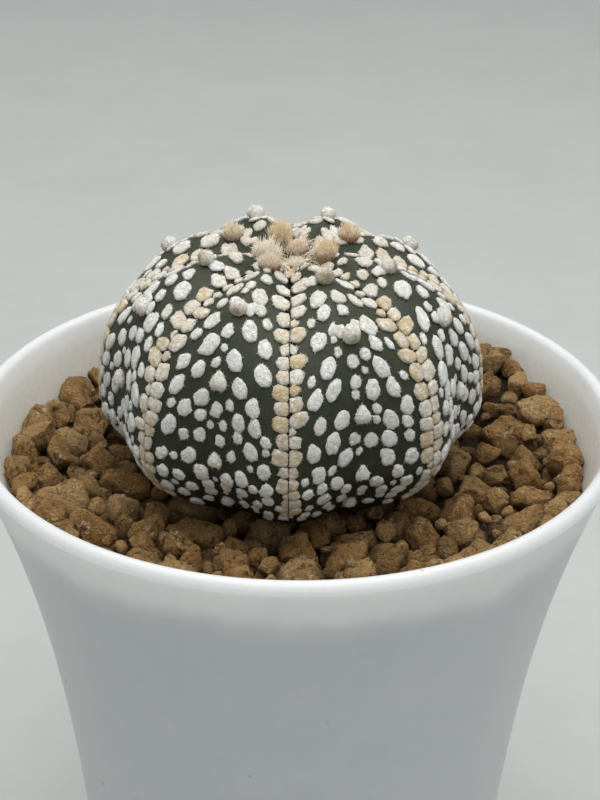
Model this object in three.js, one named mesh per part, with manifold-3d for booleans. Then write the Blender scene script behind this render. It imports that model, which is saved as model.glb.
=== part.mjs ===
// A star cactus in a flared pot: the pot, the baked-clay granules that fill it, and the plant.
// Millimetres, +Z up. The origin is the centre of the pot's foot, and -Y is the front.

import * as THREE from 'three';
import { ConvexHull } from 'three/addons/math/ConvexHull.js';
import { mergeVertices } from 'three/addons/utils/BufferGeometryUtils.js';
import Module from 'manifold-3d';

const wasm = await Module();
wasm.setup();

// ---- Driving dimensions ----

// The pot: a straight cone low down that flares out like a trumpet to the rim.
const POT_HEIGHT = 92;
const RIM_RADIUS = 45;
const FLARE = 10.7; // how far the rim stands out from the straight cone
const FLARE_DEPTH = 28.9; // how far down the flare has mostly died away
const FLARE_POWER = 1.15;
const DRAFT = 0.054; // radius lost by the straight cone for each millimetre of depth
const WALL = 2.2;
const FLOOR = 2.5;
const FOOT_HEIGHT = 2;
const FOOT_WIDTH = 3.5;
const FOOT_CHAMFER = 1;
const INNER_CORNER = 2; // the slope between the floor and the wall inside
const CENTRE_HOLE_RADIUS = 4;
const SIDE_HOLE_RADIUS = 2.5;
const SIDE_HOLES = 4;
const SIDE_HOLE_RING = 15;
const POT_SIDES = 40;
const POT_LEVELS = [30, 49, 63, 73, 80]; // where the curve of its wall has a corner

// Pieces that touch keep this much clear of each other.
const GAP = 0.3;

// The soil: how far the granules' tops lie below the rim at the wall, and how they slope.
const SOIL_DEPTH = 5.4;
const SOIL_SLOPE = 0.22; // fall towards the middle, for each millimetre
const HEAP = { bearing: 50, width: 25, rise: 3 }; // degrees from +X, degrees, millimetres
const HOLLOW = { bearing: 155, width: 15, rise: -1.8 };
const GRANULES = 165;
const GRANULE_SIZE = 6;
const GRANULE_CORNERS = 5;
const GRANULE_STANDING = 2.5; // how far a granule stands out of the fill
const GRANULE_LEAN = 0.8;
const BARE_MIDDLE = 13; // no granules inside this radius, where the plant stands

// The plant's body: its outline along a seam between two ribs, and along a rib's middle.
// Each is a quarter curve above the widest level and another below it.
const RIBS = 8;
const BODY_OFFSET = new THREE.Vector2(-0.7, 3.2);
const BODY_LEVEL = 0.2; // the widest level, above the rim
const SEAM_LINE = { radius: 26.4, above: 21.2, below: 15.7, shoulder: 2.67, foot: 1.67 };
const RIB_LINE = { radius: 24.4, above: 23.1, below: 18, shoulder: 2.95, foot: 1.37 };
const CROWN_DIMPLE = { depth: 2, radius: 6.2 };
const CROWN_BLEND = 6; // the ribs die away within this radius of the crown
const CREASE = { depth: 1, width: 0.8, length: 50, step: 2 };

// The root, which grows out of the bottom of the body.
const ROOT_NECK_RADIUS = 6.5;
const ROOT_TIP_RADIUS = 0.8;
const ROOT_LENGTH = 32;
const ROOT_COLLAR = 3; // how far the root runs on up into the body
const ROOT_SIDES = 16;

// Areoles: felt knobs that stand along the middle of each rib, a pitch apart.
const AREOLE_PITCH = 10.2;
const FIRST_AREOLE = [3.6, 8.9, 2.6, 7.2, 1.2, 4.2, 8.4, 3.2]; // each rib's, from the crown
const CROWN_REACH = 5.5; // areoles nearer the crown than this are still tufts of wool
const KNOB_RADIUS = 1.15;
const KNOB_HEIGHT = 1.6;
const TUFT_HEIGHT = 3;
const TUFT_STRANDS = 5;
const TUFT_SPREAD = 0.65;
const STRAND = { tip: 0.3, root: 0.75, sides: 4, sunk: 1, lean: 0.16 };

// Flecks: low pads of white felt all over the body, larger than life.
const FLECK_PITCH = 4.1;
const FLECK_LENGTH = 3.1;
const FLECK_WIDTH = 2.5;
const FLECK_HEIGHT = 0.6;
const FLECK_CORNERS = { loose: 5, band: 4 };
const FLECK_STAGGER = 0.03; // radians of latitude between one column and the next
const FIRST_ROW = 5; // the first row's distance from the crown
const LAST_FLECK = 10.5; // how far below the rim the lowest ones lie

// ---- Helpers ----

const DEGREE = Math.PI / 180;

function seededRandom(seed) {
  let state = seed;
  return () => {
    state = (state * 1664525 + 1013904223) % 4294967296;
    return state / 4294967296;
  };
}

function toSolid(geometry) {
  const bare = geometry.clone();
  bare.deleteAttribute('normal');
  bare.deleteAttribute('uv');
  const merged = mergeVertices(bare, 1e-4);
  return new wasm.Manifold(new wasm.Mesh({
    numProp: 3,
    vertProperties: new Float32Array(merged.attributes.position.array),
    triVerts: new Uint32Array(merged.index.array),
  }));
}

// The largest body alone: fusing can leave a loose scrap, or shut in a small hollow.
function toGeometry(solid) {
  const pieces = solid.decompose();
  const largest = pieces.reduce((best, piece) => (piece.volume() > best.volume() ? piece : best));
  const mesh = largest.getMesh();
  const geometry = new THREE.BufferGeometry();
  geometry.setAttribute('position', new THREE.BufferAttribute(mesh.vertProperties, 3));
  geometry.setIndex(new THREE.BufferAttribute(mesh.triVerts, 1));
  return geometry;
}

function joined(solids) {
  let queue = solids;
  while (queue.length > 1) {
    const next = [];
    for (let i = 0; i < queue.length; i += 2) {
      next.push(i + 1 < queue.length ? queue[i].add(queue[i + 1]) : queue[i]);
    }
    queue = next;
  }
  return queue[0];
}

// A closed skin over rings of points: a point at the bottom, the rings upwards, a point on top.
// Every ring runs the same way round, from +X towards +Y.
function loft(bottom, rings, top) {
  const count = rings[0].length;
  const last = 1 + rings.length * count;
  const triangles = bandTriangles(1, rings.length, count);
  for (let i = 0; i < count; i++) {
    const next = (i + 1) % count;
    triangles.push([0, 1 + next, 1 + i]);
    triangles.push([last - count + i, last - count + next, last]);
  }
  return skin([bottom, ...rings.flat(), top], triangles);
}

// The bands between rings that follow each other in a list of points.
function bandTriangles(start, rings, count) {
  const triangles = [];
  for (let row = 0; row < rings - 1; row++) {
    for (let i = 0; i < count; i++) {
      const next = (i + 1) % count;
      const low = start + row * count;
      const high = low + count;
      triangles.push([low + i, low + next, high + i]);
      triangles.push([low + next, high + next, high + i]);
    }
  }
  return triangles;
}

// The triangles of the hull round some points, each as three places in the list.
function hullTriangles(points, wanted) {
  const places = new Map(points.map((point, i) => [point, i]));
  const triangles = [];
  for (const face of new ConvexHull().setFromPoints(points).faces) {
    if (wanted(face)) {
      const corners = [face.edge, face.edge.next, face.edge.prev];
      triangles.push(corners.map((edge) => places.get(edge.head().point)));
    }
  }
  return triangles;
}

function skin(points, triangles) {
  const geometry = new THREE.BufferGeometry();
  geometry.setAttribute('position', new THREE.Float32BufferAttribute(
    points.flatMap((point) => point.toArray()), 3));
  geometry.setIndex(triangles.flat());
  return geometry;
}

// A closed skin over spots that stand out from a surface. They are joined as the feet under
// them lie when seen from one centre, which every foot can be seen from.
function starSkin(centre, spots) {
  const directions = spots.map(({ foot }) => foot.clone().sub(centre).normalize());
  const points = spots.map(({ foot, out, lift }) => foot.clone().addScaledVector(out, lift));
  return skin(points, hullTriangles(directions, () => true));
}

// The triangles between points of uneven ground, joined as they lie in plan. The hull of the
// plan lifted onto a bowl has them on its underside.
function groundTriangles(points) {
  const bowl = points.map(({ x, y }) => new THREE.Vector3(x, y, (x * x + y * y) / 100));
  const underside = (face) => face.normal.z < -1e-9;
  return hullTriangles(bowl, underside).map(([a, b, c]) => [a, c, b]);
}

function named(name, geometry, color, roughness) {
  const flat = geometry.toNonIndexed();
  flat.computeVertexNormals();
  const material = new THREE.MeshStandardMaterial({ color, roughness, metalness: 0 });
  const mesh = new THREE.Mesh(flat, material);
  mesh.name = name;
  return mesh;
}

// ---- Pot ----

function potRadius(height) {
  const depth = POT_HEIGHT - height;
  const flareLeft = Math.exp(-((depth / FLARE_DEPTH) ** FLARE_POWER));
  return RIM_RADIUS - FLARE * (1 - flareLeft) - DRAFT * depth;
}

function potBore(height) {
  return potRadius(height) - WALL;
}

function makePot() {
  const floorTop = FOOT_HEIGHT + FLOOR;
  const lip = WALL / 2;
  const levels = [4, ...POT_LEVELS, 86.5];
  const footRadius = potRadius(0);
  const profile = [
    [CENTRE_HOLE_RADIUS, FOOT_HEIGHT],
    [footRadius - FOOT_WIDTH - FOOT_CHAMFER, FOOT_HEIGHT],
    [footRadius - FOOT_WIDTH, 0],
    [footRadius - FOOT_CHAMFER, 0],
    [footRadius - 0.3 * FOOT_CHAMFER, 0.3 * FOOT_CHAMFER],
    [footRadius, FOOT_CHAMFER],
  ];
  for (const level of levels) {
    profile.push([potRadius(level), level]);
  }
  const lipMiddle = POT_HEIGHT - lip;
  for (const angle of [0, 50, 90, 130, 180]) {
    profile.push([
      potRadius(POT_HEIGHT) - lip + lip * Math.cos(angle * DEGREE),
      lipMiddle + lip * Math.sin(angle * DEGREE),
    ]);
  }
  for (const level of levels.slice(1).reverse()) {
    profile.push([potBore(level), level]);
  }
  profile.push([potBore(floorTop + INNER_CORNER), floorTop + INNER_CORNER]);
  profile.push([potBore(floorTop) - INNER_CORNER, floorTop]);
  profile.push([CENTRE_HOLE_RADIUS, floorTop]);
  profile.push(profile[0]);
  const outline = profile.map(([radius, height]) => new THREE.Vector2(radius, height));
  const shell = new THREE.LatheGeometry(outline, POT_SIDES).rotateX(Math.PI / 2);
  let pot = toSolid(shell);
  for (let i = 0; i < SIDE_HOLES; i++) {
    const angle = (i + 0.5) * 2 * Math.PI / SIDE_HOLES;
    const drill = new THREE.CylinderGeometry(SIDE_HOLE_RADIUS, SIDE_HOLE_RADIUS, 4 * FLOOR, 16);
    drill.rotateX(Math.PI / 2);
    drill.translate(SIDE_HOLE_RING * Math.cos(angle), SIDE_HOLE_RING * Math.sin(angle), floorTop);
    pot = pot.subtract(toSolid(drill));
  }
  return pot;
}

// ---- Plant ----

function quarterCurve(line, latitude) {
  const power = 2 / (latitude > 0 ? line.shoulder : line.foot);
  const reach = latitude > 0 ? line.above : -line.below;
  return [
    line.radius * Math.abs(Math.cos(latitude)) ** power,
    reach * Math.abs(Math.sin(latitude)) ** power,
  ];
}

// A point on the body. The bearing is in radians from the front, towards +X, and the latitude
// runs from a quarter turn at the crown to minus a quarter turn at the bottom.
function bodyPoint(bearing, latitude) {
  const [seamRadius, seamHeight] = quarterCurve(SEAM_LINE, latitude);
  const [ribRadius, ribHeight] = quarterCurve(RIB_LINE, latitude);
  const pinch = Math.min(1, seamRadius / CROWN_BLEND);
  const seamShare = (1 + pinch * Math.cos(RIBS * bearing)) / 2;
  let radius = ribRadius + (seamRadius - ribRadius) * seamShare;
  let height = BODY_LEVEL + ribHeight + (seamHeight - ribHeight) * seamShare;
  if (latitude > 0) {
    height -= CROWN_DIMPLE.depth * Math.exp(-((radius / CROWN_DIMPLE.radius) ** 2));
  }
  const sector = 2 * Math.PI / RIBS;
  const fromSeam = Math.abs(bearing - sector * Math.round(bearing / sector)) * radius;
  const crease = pinch * CREASE.depth * Math.exp(-((fromSeam / CREASE.width) ** 2));
  radius -= crease * Math.cos(latitude);
  height -= crease * Math.max(0, Math.sin(latitude));
  return new THREE.Vector3(
    BODY_OFFSET.x + radius * Math.sin(bearing),
    BODY_OFFSET.y - radius * Math.cos(bearing),
    POT_HEIGHT + height,
  );
}

// The place on the body's surface with its directions: out, down along the rib, and sideways.
function bodyFrame(bearing, latitude) {
  const step = 0.01;
  const place = bodyPoint(bearing, latitude);
  const down = bodyPoint(bearing, latitude - step).sub(place).normalize();
  const side = bodyPoint(bearing + step, latitude).sub(bodyPoint(bearing - step, latitude)).normalize();
  const out = side.clone().cross(down).normalize().negate();
  side.copy(down).cross(out).normalize();
  return { place, out, down, side };
}

// The latitudes at given distances from the crown, measured along the surface.
function latitudesAlong(bearing, distances) {
  const step = 0.004;
  const found = [];
  let latitude = Math.PI / 2 - step;
  let travelled = 0;
  let before = bodyPoint(bearing, latitude);
  for (const distance of distances) {
    while (travelled < distance && latitude > step - Math.PI / 2) {
      latitude -= step;
      const after = bodyPoint(bearing, latitude);
      travelled += after.distanceTo(before);
      before = after;
    }
    found.push(latitude);
  }
  return found;
}

function ribBearing(rib) {
  return (rib + 0.5) * 2 * Math.PI / RIBS - Math.PI;
}

function rootSkin(clear) {
  const neckLevel = POT_HEIGHT + BODY_LEVEL - SEAM_LINE.below;
  const outline = [
    new THREE.Vector2(0, neckLevel - ROOT_LENGTH - clear),
    new THREE.Vector2(ROOT_TIP_RADIUS + clear, neckLevel - ROOT_LENGTH - clear),
    new THREE.Vector2(ROOT_NECK_RADIUS / 2 + clear, neckLevel - ROOT_LENGTH / 3),
    new THREE.Vector2(ROOT_NECK_RADIUS + clear, neckLevel),
    new THREE.Vector2(ROOT_NECK_RADIUS + clear, neckLevel + ROOT_COLLAR),
    new THREE.Vector2(0, neckLevel + ROOT_COLLAR),
  ];
  const root = new THREE.LatheGeometry(outline, ROOT_SIDES).rotateX(Math.PI / 2);
  return toSolid(root.translate(BODY_OFFSET.x, BODY_OFFSET.y, 0));
}

// The space that the plant takes up in the soil, with a little room all round.
function plantRoom() {
  const sides = [];
  for (let i = 0; i < 4 * RIBS; i++) {
    sides.push(i * 2 * Math.PI / (4 * RIBS) - Math.PI);
  }
  const room = FLECK_HEIGHT + KNOB_HEIGHT / 3 + GAP;
  const rings = [-60, -42, -31, -22, -13, -4, 5].map((latitude) => sides.map((bearing) => {
    const { place } = bodyFrame(bearing, latitude * DEGREE);
    const clear = latitude < -50 ? 3 * GAP : room;
    const outward = new THREE.Vector3(Math.sin(bearing), -Math.cos(bearing), -0.8).normalize();
    return place.addScaledVector(outward, clear);
  }));
  const bottom = bodyPoint(0, -89.9 * DEGREE).add(new THREE.Vector3(0, 0, -2 * GAP));
  const top = bodyPoint(0, 89.9 * DEGREE);
  return toSolid(loft(bottom, rings, top)).add(rootSkin(GAP));
}

// A piece that stands up along its own Y, set on a place on the body.
function placed(geometry, { place, out, down, side }) {
  const basis = new THREE.Matrix4().makeBasis(side, out, down.clone().negate());
  return toSolid(geometry.applyMatrix4(basis.setPosition(place)));
}

// Spots in a ring round a place on the body, standing out of its surface by the lift.
function ringSpots(frame, width, length, corners, twist, lift) {
  const spots = [];
  for (let i = 0; i < corners; i++) {
    const angle = twist + i * 2 * Math.PI / corners;
    const foot = frame.place.clone()
      .addScaledVector(frame.side, width / 2 * Math.cos(angle))
      .addScaledVector(frame.down, length / 2 * Math.sin(angle));
    spots.push({ foot, out: frame.out, lift });
  }
  return spots;
}

// A low pad of felt: a ring on the surface, and a smaller one that is its flat top.
function fleckSpots(frame, width, length, corners, twist) {
  return [
    ...ringSpots(frame, width, length, corners, twist, 0),
    ...ringSpots(frame, 0.78 * width, 0.82 * length, corners, twist, FLECK_HEIGHT),
  ];
}

// A felt knob: two rings, one above the other, and a point on top.
function knobSpots(frame) {
  const width = 2 * KNOB_RADIUS;
  return [
    ...ringSpots(frame, width, width, 6, 0, 0),
    ...ringSpots(frame, 0.85 * width, 0.85 * width, 6, 0, 0.6 * KNOB_HEIGHT),
    ...ringSpots(frame, 0, 0, 1, 0, KNOB_HEIGHT),
  ];
}

// A tuft of wool: blunt strands that lean together.
function tuft(frame, random) {
  const strands = [];
  for (let i = 0; i < TUFT_STRANDS; i++) {
    const length = TUFT_HEIGHT + STRAND.sunk;
    const strand = new THREE.CylinderGeometry(STRAND.tip, STRAND.root, length, STRAND.sides);
    strand.translate(0, length / 2 - STRAND.sunk, 0);
    strand.rotateZ(STRAND.lean);
    strand.translate(TUFT_SPREAD, 0, 0);
    strand.rotateY(i * 2 * Math.PI / TUFT_STRANDS + random());
    strands.push(placed(strand, frame));
  }
  return joined(strands);
}

// Rows of flecks down each rib, as many in a row as its width takes. The outermost ones line
// the crease on either side and are squarer.
function bodyFlecks(random, areoles) {
  const spots = [];
  const sector = 2 * Math.PI / RIBS;
  for (let rib = 0; rib < RIBS; rib++) {
    const middle = ribBearing(rib);
    const distances = [];
    for (let distance = FIRST_ROW; distance < 60; distance += FLECK_PITCH) {
      distances.push(distance);
    }
    for (const [row, latitude] of latitudesAlong(middle, distances).entries()) {
      const { place } = bodyFrame(middle, latitude);
      if (place.z < POT_HEIGHT - LAST_FLECK) {
        break;
      }
      const arc = sector * Math.hypot(place.x - BODY_OFFSET.x, place.y - BODY_OFFSET.y);
      const across = Math.max(1, Math.round(arc / FLECK_PITCH));
      for (let i = 0; i < across; i++) {
        const band = across > 1 && (i === 0 || i === across - 1);
        const loose = band ? 0 : 0.22 * (random() - 0.5);
        const stagger = band ? 0 : FLECK_STAGGER * (row % 2 - 0.5);
        const share = (i + 0.5 + loose) / across - 0.5;
        const frame = bodyFrame(middle + sector * share, latitude + stagger);
        const grow = 0.9 + 0.2 * random();
        const width = Math.min(1.1, arc / across / FLECK_PITCH) * FLECK_WIDTH * grow;
        if (areoles.every((areole) => areole.distanceTo(frame.place) > KNOB_RADIUS + width / 2)) {
          const twist = band ? Math.PI / 4 : random();
          const corners = band ? FLECK_CORNERS.band : FLECK_CORNERS.loose;
          spots.push(...fleckSpots(frame, width, FLECK_LENGTH * grow, corners, twist));
        }
      }
    }
  }
  return spots;
}

// The bottoms of the creases, and the plain skin below the lowest flecks.
function bareSpots() {
  const spots = [];
  const add = (bearing, latitude) => {
    spots.push({ foot: bodyPoint(bearing, latitude), out: new THREE.Vector3(), lift: 0 });
  };
  const distances = [];
  for (let distance = FIRST_ROW; distance < CREASE.length; distance += CREASE.step) {
    distances.push(distance);
  }
  for (let rib = 0; rib < RIBS; rib++) {
    const seam = rib * 2 * Math.PI / RIBS;
    for (const latitude of latitudesAlong(seam, distances)) {
      add(seam, latitude);
    }
    for (const latitude of [-42, -60]) {
      for (const share of [0, 0.33, 0.67]) {
        add(seam + share * 2 * Math.PI / RIBS, latitude * DEGREE);
      }
    }
  }
  add(0, 89.9 * DEGREE);
  add(0, -89.9 * DEGREE);
  return spots;
}

function areoleFrames() {
  const frames = [];
  for (let rib = 0; rib < RIBS; rib++) {
    const distances = [];
    for (let distance = FIRST_AREOLE[rib]; distance < 60; distance += AREOLE_PITCH) {
      distances.push(distance);
    }
    for (const latitude of latitudesAlong(ribBearing(rib), distances)) {
      const frame = bodyFrame(ribBearing(rib), latitude);
      if (frame.place.z > POT_HEIGHT - LAST_FLECK + KNOB_HEIGHT) {
        frames.push(frame);
      }
    }
  }
  return frames;
}

function makeCactus() {
  const random = seededRandom(7);
  const crown = bodyPoint(0, 89.9 * DEGREE);
  const areoles = areoleFrames();
  const woolly = areoles.filter(({ place }) => place.distanceTo(crown) < CROWN_REACH);
  const felted = areoles.filter((frame) => !woolly.includes(frame));
  const spots = [
    ...bodyFlecks(random, areoles.map(({ place }) => place)),
    ...felted.flatMap(knobSpots),
    ...bareSpots(),
  ];
  const centre = new THREE.Vector3(BODY_OFFSET.x, BODY_OFFSET.y, POT_HEIGHT + BODY_LEVEL);
  const body = toSolid(starSkin(centre, spots));
  return joined([body, rootSkin(0), ...woolly.map((frame) => tuft(frame, random))]);
}

// ---- Soil ----

function gauss(angle, { bearing, width, rise }) {
  const turn = ((angle / DEGREE - bearing + 540) % 360) - 180;
  return rise * Math.exp(-((turn / width) ** 2));
}

// The level of the granules' tops.
function soilTop(x, y) {
  const angle = Math.atan2(y, x);
  const radius = Math.hypot(x, y);
  const wall = potBore(POT_HEIGHT - SOIL_DEPTH);
  const nearWall = Math.min(1, radius / wall) ** 2;
  const uneven = (gauss(angle, HEAP) + gauss(angle, HOLLOW)) * nearWall;
  return POT_HEIGHT - SOIL_DEPTH + uneven - SOIL_SLOPE * (wall - radius);
}

// The rings of the fill, from its floor up its wall to the edge that the granules meet.
function fillRings() {
  const floorTop = FOOT_HEIGHT + FLOOR + GAP;
  const angles = [];
  for (let i = 0; i < POT_SIDES; i++) {
    angles.push(i * 2 * Math.PI / POT_SIDES);
  }
  const at = (angle, radius, height) => new THREE.Vector3(
    radius * Math.cos(angle), radius * Math.sin(angle), height);
  const floorEdge = potBore(floorTop) - INNER_CORNER - GAP;
  const rings = [angles.map((angle) => at(angle, floorEdge, floorTop))];
  for (const level of [floorTop + INNER_CORNER, ...POT_LEVELS]) {
    rings.push(angles.map((angle) => at(angle, potBore(level) - GAP, level)));
  }
  rings.push(angles.map((angle) => {
    const wall = at(angle, potBore(POT_HEIGHT - SOIL_DEPTH), 0);
    const level = soilTop(wall.x, wall.y) - GRANULE_STANDING;
    return at(angle, potBore(level) - 1.5 * GAP, level);
  }));
  return rings;
}

// A lump of baked clay: an uneven ring for its top, and a wider one where it meets the others.
function granulePoints(x, y, size, random) {
  const points = [];
  const turn = random() * 2 * Math.PI;
  const tilt = random() * 2 * Math.PI;
  for (let i = 0; i < GRANULE_CORNERS; i++) {
    const angle = turn + i * 2 * Math.PI / GRANULE_CORNERS;
    for (const [share, drop] of [[0.62, 0], [0.98, GRANULE_STANDING]]) {
      const radius = size / 2 * share * (0.85 + 0.3 * random());
      const lean = drop ? 0 : GRANULE_LEAN * Math.cos(angle - tilt);
      const cornerX = x + radius * Math.cos(angle);
      const cornerY = y + radius * Math.sin(angle);
      const height = soilTop(x, y) - drop + lean - random();
      points.push(new THREE.Vector3(cornerX, cornerY, height));
    }
  }
  return points;
}

function makeSoil() {
  const random = seededRandom(23);
  const goldenTurn = Math.PI * (3 - Math.sqrt(5));
  const outer = potBore(POT_HEIGHT - SOIL_DEPTH) - GAP;
  const ground = [new THREE.Vector3(0, 0, soilTop(0, 0) - GRANULE_STANDING)];
  for (let i = 0; i < GRANULES; i++) {
    const size = GRANULE_SIZE * (0.8 + 0.4 * random());
    const share = (i + 0.5) / GRANULES;
    const spread = Math.sqrt(BARE_MIDDLE ** 2 + share * (outer ** 2 - BARE_MIDDLE ** 2));
    const across = Math.cos(i * goldenTurn);
    const along = Math.sin(i * goldenTurn);
    const lowest = soilTop(spread * across, spread * along) - GRANULE_STANDING - 1.5;
    const radius = Math.min(spread, potBore(lowest) - GAP - 0.58 * size);
    ground.push(...granulePoints(radius * across, radius * along, size, random));
  }
  const rings = fillRings();
  const middle = new THREE.Vector3(0, 0, rings[0][0].z);
  const points = [middle, ...rings.flat(), ...ground];
  const edge = 1 + (rings.length - 1) * POT_SIDES;
  const top = groundTriangles(points.slice(edge));
  const triangles = [
    ...bandTriangles(1, rings.length, POT_SIDES),
    ...rings[0].map((_, i) => [0, 1 + (i + 1) % POT_SIDES, 1 + i]),
    ...top.map((triangle) => triangle.map((corner) => corner + edge)),
  ];
  return toSolid(skin(points, triangles)).subtract(plantRoom());
}

// ---- The whole ----

const group = new THREE.Group();
group.add(named('pot', toGeometry(makePot()), '#e9ebea', 0.4));
group.add(named('soil', toGeometry(makeSoil()), '#8a6a44', 1));
group.add(named('cactus', toGeometry(makeCactus()), '#4a5743', 0.85));

export default group;
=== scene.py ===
import math
import random

import bpy
import numpy as np
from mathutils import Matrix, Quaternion, Vector, noise


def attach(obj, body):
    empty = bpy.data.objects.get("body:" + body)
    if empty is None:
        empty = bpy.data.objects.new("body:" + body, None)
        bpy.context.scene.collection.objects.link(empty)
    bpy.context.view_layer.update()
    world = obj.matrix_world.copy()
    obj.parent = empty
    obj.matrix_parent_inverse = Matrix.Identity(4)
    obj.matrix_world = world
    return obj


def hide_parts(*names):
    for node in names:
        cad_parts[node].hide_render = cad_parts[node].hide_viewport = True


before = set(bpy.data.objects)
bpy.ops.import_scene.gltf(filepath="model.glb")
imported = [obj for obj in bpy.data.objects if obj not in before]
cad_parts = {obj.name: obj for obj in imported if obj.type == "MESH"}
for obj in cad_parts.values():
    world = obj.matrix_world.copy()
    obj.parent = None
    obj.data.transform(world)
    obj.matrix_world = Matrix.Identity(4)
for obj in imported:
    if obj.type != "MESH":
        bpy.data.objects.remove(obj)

MM = 0.001
TURN = 2 * math.pi
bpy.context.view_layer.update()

# ---- The object's sizes, the same as the frame's ----

POT_HEIGHT = 92
RIM_RADIUS = 45
FLARE, FLARE_DEPTH, FLARE_POWER = 10.7, 28.9, 1.15
DRAFT = 0.054
WALL = 2.2
LIP_DROP = 1.5
FLOOR = 2.5
FOOT_HEIGHT, FOOT_WIDTH, FOOT_CHAMFER = 2, 3.5, 1
INNER_CORNER = 2
CENTRE_HOLE_RADIUS = 4
SIDE_HOLES, SIDE_HOLE_RADIUS, SIDE_HOLE_RING = 4, 2.5, 15
SOIL_GAP = 0.3

# The granules lie this deep under the rim at the wall, and fall towards the plant. A heap and a
# hollow in them: the bearing from +X and the width, in degrees, and the rise.
SOIL_DEPTH, SOIL_SLOPE = 5.4, 0.22
HEAP = (50, 25, 3)
HOLLOW = (155, 15, -1.8)

RIBS = 8
SECTOR = TURN / RIBS
BODY_X, BODY_Y, BODY_LEVEL = -0.7, 3.2, 0.2
SEAM_LINE = dict(radius=26.4, above=21.2, below=15.7, shoulder=2.67, foot=1.67)
RIB_LINE = dict(radius=24.4, above=23.1, below=18, shoulder=2.95, foot=1.37)
CROWN_DIMPLE = (2, 6.2)
CROWN_BLEND = 6

# Each rib's areoles, in millimetres from the crown. Rib 0 is the back left one, and they run
# round past the left, the front and the right.
AREOLES = [
    [3.6, 13.4, 23.6, 34, 44], [9.2, 19, 29.3, 39.6], [2.6, 12.3, 22.8, 33.2, 43.5],
    [7.6, 17.5, 27.4, 38, 46.7], [1.4, 11.6, 21.2, 31.5, 39.7, 46.7],
    [4.2, 14.2, 24, 34.5, 44.6], [8.6, 18.2, 28.4, 38.8], [3.2, 13.2, 23.4, 33.7, 44],
]

# ---- Sizes of the finer pieces ----

EDGE = 0.3
LIP_STEPS = 8
WALL_LEVELS = (4, 12, 22, 32, 40, 47, 53, 58, 63, 67, 71, 75, 78, 81, 84, 86.5, 88.6, 89.8)
# Below the rim the pot's inside holds clay dust and painted bounce light from the clay, which start so far
# down and fade in over so far.
DUST_AND_BOUNCE_DEPTH, DUST_AND_BOUNCE_FADE = 0.5, 4

BED_MIDDLE, BED_TOP = 26, 78
BED_WALL_LEVELS = (7, 30, 49, 63, 73, 78)
BED_RINGS = (39, 37, 34, 31, 28, 25, 22, 18, 14, 9, 4)
BED_DEPTH, BED_EDGE, BED_EDGE_WIDTH, BED_EDGE_RISE = 3.3, 34, 6, 1.5
# The bed's lightness is painted shade, as dark as the gaps between the granules.
BED_PAINTED_SHADE = 0.1

# The pile's granules: the lowest and highest radius and the number tried, biggest first.
PILE_SIZES = ((3.5, 4.5, 16), (2.7, 3.5, 66), (2.0, 2.7, 230), (1.4, 2.0, 420), (0.8, 1.4, 900))
PILE_SPOTS, PILE_TRIES = 11000, 40
PILE_INSIDE, PILE_OUTSIDE = 8, 42
PILE_DEPTHS = (0.5, 4.3)
PILE_UNEVEN = (-0.5, 0.9)

# A granule stays PACKING of another's radius off that one's middle, and WALL_REST or WALL_LEAN of
# its own radius off the wall. It may reach SKIN_PRESS into the plant's skin. Its top counts as
# CREST of its radius over its middle, and TIGHTNESS sets how much the room left round it counts.
PACKING, WALL_REST, WALL_LEAN, SKIN_PRESS = 0.95, 0.85, 0.9, 0.5
CREST, TIGHTNESS = 0.8, 0.6
CRUMB_RADIUS, CRUMB_SINK = 1.4, 0.9
WALL_SIZES, WALL_SINK, WALL_STEP = (1.6, 3.1), (0.25, 0.85), 1.55
UNDER_SIZES, UNDER_DEPTH, UNDER_TRIES = (1.5, 2.3), 2.9, 3000
UNDER_PACKING, UNDER_CLEAR = 0.85, 0.6
SHADE_RADIUS = 19
FINE_LUMPS, FINE_RADIUS, FINE_DEPTH = 155, 2, 1.6
COARSE_RADIUS = 1.3
# Painted shade darkens a granule's corners that lie deeper than this under the pile's top, fully over this
# depth.
PAINTED_SHADE_FROM, PAINTED_SHADE_DEPTH = 0.6, 3.4

# A granule's shape: a ball is cut flat at so many places, at a share of its radius, brought to
# one mean radius, made lumpy in steps (pitch, size) and stretched.
CLAY_SHAPES, CLAY_BALL, CLAY_FLATS, CLAY_CUTS = 9, 1.12, 12, (0.56, 0.88)
CLAY_MEAN, CLAY_GROWTH = 0.84, 1.02
CLAY_LUMPS = ((1.7, 0.06), (4, 0.08), (9, 0.075), (17, 0.055))
CLAY_STRETCHES = ((1.0, 1.22), (0.9, 1.08), (0.8, 0.98))

# The creases: how deep and wide the fold is, how much the body's corners crowd towards it, and
# how near to its middle a fleck may come.
CREASE_DEPTH, CREASE_WIDTH = 1.0, 0.45
CREASE_CROWDING = 0.62
CREASE_GAP = 0.07

# The root's rings from its tip up: the radius, and the level over the body's bottom.
ROOT_RINGS = ((0.8, -32), (3.25, -10.7), (4.3875, -5), (6.4935, 0), (6.4935, 3))

# A fleck's sizes follow its distance from the crown. The bands of blocks end before the others.
FLECK_SPOTS = 52000
FLECKS_END, BANDS_END = 48, 46
FLECK_GROWTH = ([4, 8, 12, 32, 42, 50], [0.7, 0.97, 1.03, 0.9, 0.68, 0.5])
FLECK_KINDS = ("round", "round", "oval", "oval", "bean", "notched", "lobes", "teardrop", "hexagon", "slab")
BAND_KINDS = ("block", "hexagon", "slab", "bean")
CROWN_BAND_KINDS = ("oval", "slab", "diamond", "hexagon")
PAD_CORNERS, PAD_RADIUS, PAD_FOOT, PAD_SINK = 20, 1.1, 0.93, 0.15
PAD_RINGS = ((0.42, 1.12), (0.42, 0.9), (0.12, 0.62))
KNOB_ROOM, KNOB_HEIGHT, KNOB_LEVEL = 1.3, 0.85, 0.55

# Rounds in which the ribs are filled: the lowest and highest radius of a fleck, and the gap.
FLECK_ROUNDS = ((1.15, 1.4, 0.28), (0.98, 1.15, 0.28), (0.8, 0.96, 0.26), (0.6, 0.76, 0.28),
                (0.5, 0.56, 0.4))

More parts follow.
